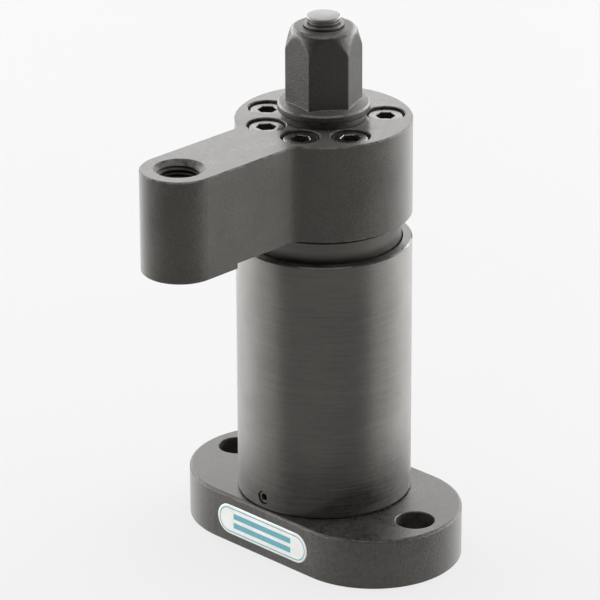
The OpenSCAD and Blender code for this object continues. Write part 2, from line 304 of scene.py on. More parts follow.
@dataclass(frozen=True)
class Finish:
    """A finish: a name and a way to paint it."""

    name: str

    def paint(self, graph: Graph) -> Wire:
        """Fills a material's empty graph and returns its shader; each finish has its own way."""
        raise NotImplementedError

    def material(self) -> bpy.types.Material:
        """The finish's material, made when it is first used.

        Returns:
            The material.
        """
        found = bpy.data.materials.get(self.name)
        if found is not None:
            return found
        made = bpy.data.materials.new(self.name)
        made.use_nodes = True
        graph = Graph(made.node_tree)
        graph.end(self.paint(graph))
        return made


@dataclass(frozen=True)
class SkinMaps:
    """What varies over an oxide skin: its colour, metal share, roughness about 1, relief, slope and normal."""

    colour: Wire
    metal: Wire
    uneven: Wire
    relief: Wire
    slope: Wire
    normal: Optional[Wire]


@dataclass(frozen=True)
class SkinGloss:
    """How a part of an oxide skin shines.

    In order: index of refraction, middle roughness, relief depth, draw, a factor on the colour that is painted light
    where above 1 and painted shade where below 1, and the coat at a grazing view.
    """

    ior: float
    roughness: float
    depth: float
    anisotropy: float = 0.0
    # A factor on the skin's colour: painted light where it is above 1, painted shade where it is below 1.
    pale: float = 1.0
    coat: float = 0.0


@dataclass(frozen=True)
class OxideSteel(Finish):
    """Steel with a black oxide skin: dark, satin, slightly warm, and thin on its broken edges, which are painted
    lighter as wear and as a painted highlight.
    """

    dark: Colour = (0.007, 0.007, 0.006)
    light: Colour = (0.023, 0.0225, 0.0195)
    # Colour of the worn edges: wear and a painted edge highlight.
    worn_highlight: Colour = (0.12, 0.117, 0.11)
    tint: Colour = (1.0, 0.955, 0.89)
    ior: float = 1.6
    coat_ior: float = 1.65
    bloom: float = 0.0
    bloom_roughness: float = 0.5
    roughness: float = 0.36
    wear_highlight: float = 0.4
    blunt: float = 0.0
    bare: float = 0.5
    cloud_size: float = 16.0
    mottle_size: float = 1.9
    grain_size: float = 0.55
    grain_depth: float = 0.1
    grain_length: float = 0.0
    bump_strength: float = 0.8
    turned: bool = False

    def paint(self, graph: Graph) -> Wire:
        """One satin skin all over."""
        return self.skin(graph, self.maps(graph), SkinGloss(self.ior, self.roughness, self.grain_depth))

    def maps(self, graph: Graph) -> SkinMaps:
        """Clouds, mottling and grain tint and roughen the skin, and broken edges show steel, painted lighter as wear
        and as a painted highlight.

        Args:
            graph: the material's graph.

        Returns:
            What varies over the skin.
        """
        place = graph.place()
        cloud = graph.noise(place, self.cloud_size, BLOT_DETAIL)
        mottle = graph.noise(place, self.mottle_size)
        grain = self.grain(graph, place)
        tone = (cloud * 0.4 + mottle * 0.15 + grain * 0.45).rise(*TONE_RISE)
        slope = graph.slope()
        turn = slope.rise(*BLUNT_RISE) * slope.rise(*BLUNT_FALL)
        patch = (mottle * 0.6 + cloud * 0.4).rise(*PATCH_RISE)
        # Chamfered edges in patches, lighter: wear and a painted edge highlight.
        edge = slope.rise(*WORN_HIGHLIGHT_RISE) * slope.rise(*WORN_HIGHLIGHT_FALL) * patch
        skin = graph.mix(self.dark, self.light, tone)
        return SkinMaps(
            colour=graph.mix(skin, self.worn_highlight, edge * self.wear_highlight),
            metal=edge * (self.wear_highlight * self.bare),
            uneven=1 + cloud.about(0.5) + mottle.about(0.4) + grain.about(0.45) + turn * self.blunt,
            relief=grain * 0.75 + mottle * 0.25,
            slope=slope,
            normal=graph.turned(place) if self.turned else None)

    def grain(self, graph: Graph, place: Wire) -> Wire:
        """The finest marks: round grain, or grain drawn out round the axis where it has a length.

        Args:
            graph: the material's graph.
            place: where on the piece.

        Returns:
            The marks, about 0.5.
        """
        if not self.grain_length:
            return graph.noise(place, self.grain_size, GRAIN_DETAIL)
        streaks = graph.streaks(place, self.grain_size, self.grain_length)
        return streaks * 0.7 + graph.rings(place, self.grain_size) * 0.3

    def skin(self, graph: Graph, maps: SkinMaps, gloss: SkinGloss) -> Wire:
        """The skin's shader.

        Args:
            graph: the material's graph.
            maps: what varies over the skin.
            gloss: how it shines.

        Returns:
            The shader.
        """
        coat = {"Coat Weight": graph.facing().rise(*GRAZE_RISE) * gloss.coat, "Coat Roughness": gloss.roughness,
                "Coat IOR": self.coat_ior} if gloss.coat else {}
        return graph.surface({
            **coat,
            # The colour times the factor in gloss.pale: painted light where it is above 1, painted shade where it is
            # below 1.
            "Base Color": graph.scaled(maps.colour, gloss.pale),
            "Metallic": maps.metal,
            "Roughness": maps.uneven * gloss.roughness,
            "IOR": gloss.ior,
            "Specular Tint": (*self.tint, 1.0),
            "Anisotropic": gloss.anisotropy,
            "Anisotropic Rotation": QUARTER_TURN,
            "Sheen Weight": self.bloom,
            "Sheen Roughness": self.bloom_roughness,
            "Sheen Tint": (*self.tint, 1.0),
            "Normal": graph.bump(maps.relief, gloss.depth, self.bump_strength, maps.normal),
        })


@dataclass(frozen=True)
class FacedSteel(OxideSteel):
    """Oxide steel whose upright sides and level faces were worked in two ways.

    The faces' skin also stands for oil at the foot, up to a height, which is painted shade where the faces' colour is
    darkened, and for a painted shadow line above a height.
    """

    anisotropy: float = 0.0
    coat: float = 0.0
    face_ior: float = 1.55
    face_roughness: float = 0.2
    face_depth: float = 0.03
    # Colour factor of the faces' skin: above 1 it paints level faces lighter (painted light), below 1 it paints painted
    # shade.
    face_painted_light_shade: float = 1.0
    face_low: float = 0.85
    face_high: float = 0.97
    oil_and_shade: float = 0.0
    oil_and_shade_low: float = 14.0
    oil_and_shade_high: float = 34.0
    painted_shadow_low: float = 0.0
    painted_shadow_high: float = 0.0

    def paint(self, graph: Graph) -> Wire:
        """The sides' skin, mixed with the faces' skin on level faces, at the foot, where oil stands and, with a
        darkened faces' colour, shade is painted, and above the painted shadow line.

        Args:
            graph: the material's graph.

        Returns:
            The shader.
        """
        maps = self.maps(graph)
        height = graph.axis(graph.place(), "Z")
        level = maps.slope.rise(self.face_low, self.face_high)
        # The foot band: oil on the tube; on the sleeve, whose faces' colour is darkened, painted shade.
        if self.oil_and_shade:
            level = level.greater(height.rise(self.oil_and_shade_high * MM, self.oil_and_shade_low * MM) * self.oil_and_shade)
        # A painted shadow line: the darker faces' skin above a height, under the arm's hub.
        if self.painted_shadow_high:
            level = level.greater(height.rise(self.painted_shadow_low * MM, self.painted_shadow_high * MM))
        side = self.skin(graph, maps, SkinGloss(self.ior, self.roughness, self.grain_depth, self.anisotropy,
                                                coat=self.coat))
        face = self.skin(graph, maps, SkinGloss(self.face_ior, self.face_roughness, self.face_depth,
                                                pale=self.face_painted_light_shade))
        return graph.add("ShaderNodeMixShader", {}, {0: level, 1: side, 2: face})


@dataclass(frozen=True)
class BareMetal(Finish):
    """Bare metal with a machined lay: ground steel, spring steel or bronze."""

    dark: Colour = (0.34, 0.335, 0.32)
    light: Colour = (0.52, 0.515, 0.50)
    lay: Lay = Lay.RINGS
    metal: float = 0.85
    roughness: float = 0.34
    stain_size: float = 6.0
    mark_size: float = 0.3
    mark_depth: float = 0.006
    grain_size: float = 0.25

    def paint(self, graph: Graph) -> Wire:
        """Fine marks and faint stains tint the metal and change its gloss.

        Args:
            graph: the material's graph.

        Returns:
            The shader.
        """
        place = graph.place()
        stain = graph.noise(place, self.stain_size, BLOT_DETAIL)
        marks = graph.rings(place, self.mark_size) if self.lay is Lay.RINGS else graph.noise(place, self.mark_size)
        grain = graph.noise(place, self.grain_size, GRAIN_DETAIL)
        tone = (stain * 0.5 + marks * 0.5).rise(*METAL_RISE)
        return graph.surface({
            "Base Color": graph.mix(self.dark, self.light, tone),
            "Metallic": self.metal,
            "Roughness": self.roughness + stain.about(0.16) + marks.about(0.14),
            "Normal": graph.bump(marks * 0.7 + grain * 0.3, self.mark_depth, 0.5),
        })


@dataclass(frozen=True)
class SealRubber(Finish):
    """Matt black rubber with a little dust."""

    rubber: Colour = (0.012, 0.012, 0.013)
    dust: Colour = (0.05, 0.048, 0.045)
    roughness: float = 0.62
    dust_size: float = 3.0
    grain_size: float = 0.2
    grain_depth: float = 0.01

    def paint(self, graph: Graph) -> Wire:
        """Dust lies in blots on a fine moulded grain.

        Args:
            graph: the material's graph.

        Returns:
            The shader.
        """
        place = graph.place()
        blots = graph.noise(place, self.dust_size, BLOT_DETAIL)
        grain = graph.noise(place, self.grain_size, GRAIN_DETAIL)
        return graph.surface({
            "Base Color": graph.mix(self.rubber, self.dust, blots.rise(0.5, 0.75)),
            "Roughness": self.roughness + grain.about(0.2),
            "Normal": graph.bump(grain, self.grain_depth, 0.5),
        })


@dataclass(frozen=True)
class LabelFilm(Finish):
    """White label film with a keyline and two stripes.

    The design is drawn on X and Z about the label's centre, in millimetres.
    """

    length: float = 36.0
    height: float = 9.2
    centre_z: float = 7.5
    film: Colour = (0.70, 0.70, 0.68)
    aged: Colour = (0.64, 0.635, 0.61)
    ink: Colour = (0.03, 0.27, 0.34)
    keyline_inset: float = 0.9
    keyline_half: float = 0.14
    ink_soft: float = 0.08
    stripe_half_length: float = 11.5
    stripe_half_height: float = 0.85
    stripe_offset: float = 1.45
    roughness: float = 0.42
    blot_size: float = 5.0
    grain_size: float = 0.3
    grain_depth: float = 0.006

    def paint(self, graph: Graph) -> Wire:
        """Distances from the stadium-shaped rim and from two bars give the ink; blots age the film.

        Args:
            graph: the material's graph.

        Returns:
            The shader.
        """
        place = graph.place()
        across = graph.axis(place, "X") * (1 / MM)
        up = graph.axis(place, "Z") * (1 / MM) - self.centre_z
        straight = (self.length - self.height) / 2
        beyond = (abs(across) - straight).greater(0.0)
        flat = graph.add("ShaderNodeCombineXYZ", {}, {0: beyond, 1: up})
        inset = self.height / 2 - graph.vector("LENGTH", flat, out="Value")
        keyline = abs(inset - self.keyline_inset).rise(self.keyline_half + self.ink_soft, self.keyline_half)
        side = abs(across) - self.stripe_half_length
        lift = abs(abs(up) - self.stripe_offset) - self.stripe_half_height
        stripes = side.greater(lift).rise(0.75 * self.ink_soft, -0.25 * self.ink_soft)
        blots = graph.noise(place, self.blot_size, BLOT_DETAIL)
        grain = graph.noise(place, self.grain_size, GRAIN_DETAIL)
        film = graph.mix(self.film, self.aged, blots.rise(0.4, 0.7))
        ink = keyline.greater(stripes) * (0.88 + grain.about(0.2))
        return graph.surface({
            "Base Color": graph.mix(film, self.ink, ink),
            "Roughness": self.roughness + blots.about(0.2) - ink * 0.08,
            "Normal": graph.bump(grain + ink * 0.5, self.grain_depth, 0.4),
        })


@dataclass(frozen=True)
class StudioFloor(Finish):
    """Plain pale table top that is seen as nearly even white and keeps the object's shadow."""

    pale: Colour = (0.25, 0.25, 0.249)
    paler: Colour = (0.28, 0.28, 0.279)
    even: float = 0.75
    white: Colour = (1.0, 1.0, 1.0)
    roughness: float = 0.7
    gloss: float = 0.2
    cloud_size: float = 120.0

    def paint(self, graph: Graph) -> Wire:
        """Very faint broad clouds on a matt surface, mixed with an even white where it is seen.

        Args:
            graph: the material's graph.

        Returns:
            The shader.
        """
        place = graph.place()
        cloud = graph.noise(place, self.cloud_size)
        lit = graph.surface({
            "Base Color": graph.mix(self.pale, self.paler, cloud),
            "Roughness": self.roughness + cloud.about(0.1),
            "Specular IOR Level": self.gloss,
        })
        white = graph.add("ShaderNodeEmission", {}, {"Color": (*self.white, 1.0), "Strength": 1.0})
        return graph.add("ShaderNodeMixShader", {}, {0: graph.seen() * self.even, 1: lit, 2: white})


ARM_STEEL = FacedSteel(
    "oxide_steel_arm", bloom=0.08, ior=1.54, coat=1.0, wear_highlight=0.75, bare=0.1, blunt=1.0, grain_depth=0.08, face_ior=1.38,
    face_roughness=0.31, face_depth=0.0, face_low=0.42, face_high=0.72)
BASE_STEEL = FacedSteel(
    "oxide_steel_base", dark=(0.006, 0.006, 0.005), light=(0.031, 0.030, 0.028), ior=1.63, coat=1.0, wear_highlight=0.25,
    bare=0.1, blunt=0.7, grain_size=0.7, grain_depth=0.2, face_ior=1.4, face_roughness=0.32, face_depth=0.0,
    face_low=0.25, face_high=0.5)
# The nut's level faces are painted 4.5 times paler: painted light on its tops.
NUT_STEEL = FacedSteel(
    "oxide_steel_nut", dark=(0.004, 0.004, 0.004), light=(0.014, 0.0137, 0.0125), worn_highlight=(0.05, 0.049, 0.047), ior=1.43,
    roughness=0.42, wear_highlight=0.3, bare=0.05, face_ior=1.5, face_roughness=0.5, face_depth=0.06, face_painted_light_shade=4.5,
    face_low=0.35, face_high=0.9)
TUBE_STEEL = FacedSteel(
    "oxide_steel_turned", dark=(0.002, 0.002, 0.002), light=(0.029, 0.028, 0.025), turned=True, ior=1.75, coat=0.9,
    roughness=0.46, anisotropy=0.8, wear_highlight=0.1, grain_size=0.5, grain_length=10.0, grain_depth=0.1, face_ior=1.32,
    face_roughness=0.18, face_low=0.4, face_high=0.7, oil_and_shade=0.8, oil_and_shade_high=42.0)
# On the sleeve the foot band and the top band take the faces' skin at 0.3 of its colour: painted shade at the foot and
# a painted shadow line under the hub.
SLEEVE_STEEL = FacedSteel(
    "oxide_steel_sleeve", turned=True, ior=1.66, roughness=0.34, wear_highlight=0.1, grain_size=0.4, grain_length=8.0,
    grain_depth=0.03, face_ior=1.22, face_roughness=0.34, face_painted_light_shade=0.3, oil_and_shade=0.85, oil_and_shade_low=92.6, oil_and_shade_high=96.2,
    painted_shadow_low=98.2, painted_shadow_high=98.5)
SCREW_STEEL = OxideSteel("oxide_steel_screw", roughness=0.28, grain_size=0.5, grain_depth=0.02)
# The spindle's rounded rims are painted much lighter: wear and a painted highlight.
SPINDLE_STEEL = OxideSteel(
    "oxide_steel_spindle", dark=(0.006, 0.006, 0.005), light=(0.022, 0.0215, 0.020), worn_highlight=(0.30, 0.295, 0.285),
    ior=1.72, roughness=0.34, wear_highlight=0.6, grain_size=0.4, grain_length=6.0)
RING_STEEL = OxideSteel("oxide_steel_ring", roughness=0.4, wear_highlight=0.5, bare=0.1, blunt=0.6, grain_size=0.4)
BRIGHT_STEEL = BareMetal("ground_steel")
SPRING_STEEL = BareMetal("oiled_spring_steel", dark=(0.16, 0.16, 0.16), light=(0.27, 0.265, 0.26), lay=Lay.PLAIN)
BRONZE = BareMetal("turned_bronze", dark=(0.36, 0.23, 0.09), light=(0.52, 0.36, 0.16))
RUBBER = SealRubber("matt_seal_rubber")
LABEL = LabelFilm("printed_label_film")
FLOOR = StudioFloor("studio_floor")


@dataclass
class Sheet:
    """A grid of points, rows by columns, in millimetres; its first or last row may be a single repeated point."""

    points: np.ndarray
    wrap_rows: bool = False
    wrap_columns: bool = True

    def quads(self) -> np.ndarray:
        """Corner numbers of the grid's cells.

        Returns:
            One row of four numbers for each cell.
        """
        rows, columns = self.points.shape[:2]
        i, j = np.meshgrid(np.arange(rows if self.wrap_rows else rows - 1),
                           np.arange(columns if self.wrap_columns else columns - 1), indexing="ij")
        below, beside = (i + 1) % rows, (j + 1) % columns
        cells = [i * columns + j, i * columns + beside, below * columns + beside, below * columns + j]
        return np.stack(cells, axis=-1).reshape(-1, 4)


def solid(name: str, sheets: Sequence[Sheet]) -> bpy.types.Object:
    """Makes one closed object of some sheets, with doubles merged, faces outward and crisp edges.

    Args:
        name: the object's name.
        sheets: its surfaces.

    Returns:
        The object, at the origin.
    """
    counts = [sheet.points.shape[0] * sheet.points.shape[1] for sheet in sheets]
    starts = np.concatenate([[0], np.cumsum(counts)[:-1]])
    points = np.concatenate([sheet.points.reshape(-1, 3) for sheet in sheets]) * MM
    quads = np.concatenate([sheet.quads() + start for sheet, start in zip(sheets, starts)])
    mesh = bpy.data.meshes.new(name)
    mesh.from_pydata(points.tolist(), [], quads.tolist())
    shell = bmesh.new()
    shell.from_mesh(mesh)
    bmesh.ops.remove_doubles(shell, verts=shell.verts, dist=DOUBLES)
    bmesh.ops.dissolve_degenerate(shell, edges=shell.edges, dist=DOUBLES)
    bmesh.ops.recalc_face_normals(shell, faces=shell.faces)
    shell.to_mesh(mesh)
    shell.free()
    mesh.shade_smooth()
    mesh.set_sharp_from_angle(angle=SHARP_EDGE)
    made = bpy.data.objects.new(name, mesh)
    bpy.context.scene.collection.objects.link(made)
    return made


def rounded(corners: Sequence[tuple[float, float, float]], steps: int = 7) -> np.ndarray:
    """A line through corners, each rounded by an arc that touches both of its sides.

    An arc starts and ends at the radius over the tangent of half the corner's angle from the corner, and its
    points turn evenly from the one end to the other about its centre. A radius of 0 keeps the corner.

    Args:
        corners: distance from the axis, height and rounding radius of each corner.
        steps: points on each arc.

    Returns:
        Distance and height of each point of the line.
    """
    table = np.array(corners, float)
    spots, radii = table[:, :2], table[:, 2].copy()
    radii[[0, -1]] = 0.0
    back = np.roll(spots, 1, axis=0) - spots
    on = np.roll(spots, -1, axis=0) - spots
    back /= np.linalg.norm(back, axis=1, keepdims=True)
    on /= np.linalg.norm(on, axis=1, keepdims=True)
    half = np.arccos(np.clip((back * on).sum(1), -STRAIGHT, STRAIGHT)) / 2
    middle = back + on
    middle /= np.maximum(np.linalg.norm(middle, axis=1, keepdims=True), TINY)
    centre = spots + middle * (radii / np.sin(half))[:, None]
    touch = (radii / np.tan(half))[:, None]
    first, last = spots + back * touch - centre, spots + on * touch - centre
    sweep = (np.pi - 2 * half)[:, None, None]
    share = np.linspace(0, 1, steps)[None, :, None]
    arcs = (np.sin((1 - share) * sweep) * first[:, None] + np.sin(share * sweep) * last[:, None]) / np.sin(sweep)
    line = (centre[:, None] + arcs).reshape(-1, 2)
    fresh = np.concatenate([[True], np.linalg.norm(np.diff(line, axis=0), axis=1) > SAME_POINT])
    return line[fresh]


def around(columns: int) -> np.ndarray:
    """Evenly spaced angles of one full turn, in radians."""
    return np.arange(columns) * (2 * np.pi / columns)


def lathe(reach: np.ndarray, height: np.ndarray, angle: np.ndarray) -> np.ndarray:
    """Points about the upright axis: reach times the cosine and sine of the columns' angles, at a height."""
    reach, height, angle = np.broadcast_arrays(reach, height, angle[None, :])
    return np.stack([reach * np.cos(angle), reach * np.sin(angle), height], axis=-1)


def swept(reach: np.ndarray, height: np.ndarray, spin: np.ndarray, axis: Sequence[float] = (0.0, 0.0)) -> Sheet:
    """A section carried along an arc or a helix about an upright axis, closed at both ends by its middle point.

    A point is the reach times the cosine and sine of its step's angle, at its height.

    Args:
        reach: distance from the axis of the section's points, for all steps or step by step.
        height: their heights, in the same form.
        spin: the angle of each step, in radians.
        axis: where the axis stands.

    Returns:
        The grid.
    """
    spin = spin[:, None]
    skin = np.stack(np.broadcast_arrays(axis[0] + reach * np.cos(spin), axis[1] + reach * np.sin(spin), height), -1)
    caps = [np.repeat(row.mean(0)[None, None], skin.shape[1], axis=1) for row in (skin[0], skin[-1])]
    return Sheet(np.concatenate([caps[0], skin, caps[1]]))


def hexagon(angle: np.ndarray, across_flats: float, first_corner: float, corner_round: float) -> np.ndarray:
    """Distance from the axis to a hexagon's side, by angle.

    On a flat it is half the size across flats over the cosine of the angle from the flat's middle. Near a corner
    it is the far crossing of the ray with a circle that touches both flats.

    Args:
        angle: angles about the axis, in radians.
        across_flats: size across the flats.
        first_corner: angle of one corner, in degrees.
        corner_round: radius of the rounded corners.

    Returns:
        The distances.
    """
    sixth = np.pi / 3
    turn = (angle - np.radians(first_corner)) % sixth - sixth / 2
    flat = across_flats / 2
    centre = (flat - corner_round) / np.cos(sixth / 2)
    off = sixth / 2 - np.abs(turn)
    inside = np.maximum(corner_round ** 2 - (centre * np.sin(off)) ** 2, 0.0)
    round_part = centre * np.cos(off) + np.sqrt(inside)
    on_round = np.abs(turn) > np.arctan2(centre * np.sin(sixth / 2), flat)
    return np.where(on_round, round_part, flat / np.cos(turn))


def soft_least(first: np.ndarray, second: np.ndarray, width: float) -> np.ndarray:
    """The lesser of two values, with a parabola for the corner where they differ by less than a width."""
    share = np.clip(0.5 + 0.5 * (second - first) / width, 0.0, 1.0)
    return second + (first - second) * share - width * share * (1 - share)


@dataclass
class SubAssembly:
    """What every sub-assembly does with its pieces."""

    def place(self, piece: bpy.types.Object, body: Body, slot: Slot, finish: Finish, *nodes: str) -> bpy.types.Object:
        """Gives a new piece its finish and body, and hides the CAD nodes that it stands for.

        Args:
            piece: the new piece.
            body: the body that it rides on.
            slot: the record's material slot; not used.
            finish: its finish.
            nodes: CAD nodes that it replaces.

        Returns:
            The piece.
        """
        piece.data.materials.append(finish.material())
        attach(piece, body.value)
        if nodes:
            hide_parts(*nodes)
        log.info("piece %s: %d faces, rides on %s", piece.name, len(piece.data.polygons), body.value)
        return piece

    def dress(self, finishes: dict[str, Finish]) -> None:
        """Gives CAD nodes that keep their own mesh their finishes.

        Args:
            finishes: the finishes, by node name.
        """
        for node, finish in finishes.items():
            mesh = frame["nodes"][node].data
            mesh.materials.clear()
            mesh.materials.append(finish.material())
            log.info("node %s: %s", node, finish.name)


def heights(node: str) -> tuple[float, float]:
    """Lowest and highest point of a CAD node, in millimetres."""
    low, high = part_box(node)
    return low.z / MM, high.z / MM


def half_width(node: str) -> float:
    """Half of a CAD node's size in X, in millimetres."""
    low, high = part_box(node)
    return (high.x - low.x) / 2 / MM


@dataclass
class SocketScrew:
    """A hex-socket screw about the upright axis, from its top down; a set screw has no head."""

    top: float
    tip: float
    shank_r: float
    socket_af: float
    socket_depth: float
    socket_turn: float = 0.0
    head_r: float = 0.0
    head_h: float = 0.0
    rim_round: float = 0.55
    mouth_bevel: float = 0.2
    knurls: int = 40
    knurl_depth: float = 0.12
    knurl_fade: float = 0.3
    plain_foot: float = 0.35
    plain_top: float = 0.25
    corner_share: float = 0.04
    floor_rows: tuple[tuple[float, float], ...] = ((0.0, 0.16), (0.55, 0.07), (0.97, 0.0))
    floor_round: float = 0.06
    mouth_gap: float = 0.05
    point_share: float = 0.14
    point_round: float = 0.08
    seat_bevel: float = 0.2
    neck_round: float = 0.3
    side_rows: int = 8
    columns: int = 240

    def sheet(self) -> Sheet:
        """The whole skin as one grid, from the socket's floor over the top to the tip.

        The socket's wall is a hexagon that widens by a bevel of one in one at its mouth, and rows at a share of the
        wall's distance sink to a shallow point at its floor. Outside, a line of arcs is turned about the axis, and
        the head's side sinks in by a cosine wave round the head, faded out towards both of its edges.

        Returns:
            The grid.
        """
        angle = around(self.columns)
        wall = hexagon(angle, self.socket_af, self.socket_turn, self.socket_af * self.corner_share)
        mouth = wall + self.mouth_bevel
        floor = self.top - self.socket_depth
        share, sink = np.array(self.floor_rows).T
        inner_r = np.concatenate([share[:, None] * wall, [wall, wall, mouth]])
        inner_z = np.concatenate([floor - self.socket_af * sink, [floor + self.floor_round, self.top - self.mouth_bevel,
                                                                  self.top]])[:, None] + 0 * angle
        line = rounded(self._outline(mouth.max() + self.mouth_gap))
        outer_r, outer_z = line[:, :1] + 0 * angle, line[:, 1:] + 0 * angle
        if self.head_h:
            low, high = self.top - self.head_h + self.plain_foot, self.top - self.rim_round - self.plain_top
            fade = np.clip((outer_z - low) / self.knurl_fade, 0, 1) * np.clip((high - outer_z) / self.knurl_fade, 0, 1)
            side = outer_r > self.head_r - SLACK
            outer_r = outer_r - side * fade * self.knurl_depth * (0.5 + 0.5 * np.cos(self.knurls * angle))
        return Sheet(lathe(np.concatenate([inner_r, outer_r]), np.concatenate([inner_z, outer_z]), angle))

    def _outline(self, mouth: float) -> list[tuple[float, float, float]]:
        """Corners of the outside's line, from just outside the socket's mouth to the tip.

        Args:
            mouth: radius of the flat's inner edge.

        Returns:
            Distance, height and rounding of each corner.
        """
        point, soft, bevel = self.shank_r * self.point_share, self.point_round, self.seat_bevel
        shank = [(self.shank_r, self.tip + point, soft), (self.shank_r - point, self.tip, 0.0), (0.0, self.tip, 0.0)]
        if not self.head_h:
            return [(mouth, self.top, 0.0), (self.shank_r - point, self.top, soft),
                    (self.shank_r, self.top - point, soft), *shank]
        seat = self.top - self.head_h
        levels = np.linspace(self.top - self.rim_round - bevel, seat + self.neck_round, self.side_rows)
        side = [(self.head_r, float(level), 0.0) for level in levels]
        return [(mouth, self.top, 0.0), (self.head_r, self.top, self.rim_round), *side,
                (self.head_r, seat + bevel, 0.0), (self.head_r - bevel, seat, 0.0),
                (self.shank_r, seat, self.neck_round), *shank]


@dataclass
class BaseUnit(SubAssembly):
    """Flange, label and tube with its set screw and wiper."""

    label_half_length: float = 18.0
    label_half_height: float = 4.6
    dome_power: float = 18.4
    set_screw_r: float = 2.0
    set_screw_socket: float = 2.0
    set_screw_depth: float = 2.0
    set_screw_bevel: float = 0.08
    set_screw_columns: int = 96
    rim_rows: int = 15
    rim_columns: int = 160

    def build(self) -> None:
        """Makes the label and the set screw, and dresses the other nodes."""
        self.dress({"base_flange": BASE_STEEL, "body_tube": TUBE_STEEL, "wiper_ring": RUBBER,
                    "stop_pin": BRIGHT_STEEL, "spindle_key_pin": BRIGHT_STEEL})
        self.place(self.label(), Body.BASE, Slot.LABEL, LABEL, "label_plate")
        self.place(self.set_screw(), Body.BASE, Slot.SCREW, SCREW_STEEL, "tube_set_screw")

    def label(self) -> bpy.types.Object:
        """A thin label with round ends and a softly domed rim.

        A point is the label's middle line plus a share, from 0 to 1, of the way to the rim. Its face stands out by
        the thickness times the root of one minus the share to a high power, and its back is flat.

        Returns:
            The label.
        """
        low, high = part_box("label_plate")
        front, back, centre = low.y / MM, high.y / MM, (low.z + high.z) / 2 / MM
        angle = around(self.rim_columns)
        straight = self.label_half_length - self.label_half_height
        line_x = straight * np.sign(np.round(np.cos(angle), 9))
        rim_x = line_x + self.label_half_height * np.cos(angle)
        rim_z = self.label_half_height * np.sin(angle)
        share = np.concatenate([1 - np.linspace(1, 0, self.rim_rows) ** 2, [1.0]])[:, None]
        dome = np.sqrt(np.clip(1 - share ** self.dome_power, 0, 1))
        face_y = back + (front - back) * dome
        x, z = line_x + share * (rim_x - line_x), centre + share * rim_z
        face = np.stack(np.broadcast_arrays(x, face_y, z), axis=-1)
        rear = np.stack(np.broadcast_arrays(x, back, z), axis=-1)[::-1]
        return solid("label_film", [Sheet(np.concatenate([face, rear]))])

    def set_screw(self) -> bpy.types.Object:
        """The set screw: an upright screw whose axis is laid along -Y at the screw's height.

        Returns:
            The screw.
        """
        low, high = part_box("tube_set_screw")
        upright = SocketScrew(top=-low.y / MM, tip=-high.y / MM, shank_r=self.set_screw_r,
                              socket_af=self.set_screw_socket, socket_depth=self.set_screw_depth,
                              mouth_bevel=self.set_screw_bevel, columns=self.set_screw_columns).sheet()
        x, y, z = np.moveaxis(upright.points, -1, 0)
        middle = (low.z + high.z) / 2 / MM
        return solid("set_screw", [Sheet(np.stack([x, -z, y + middle], axis=-1))])


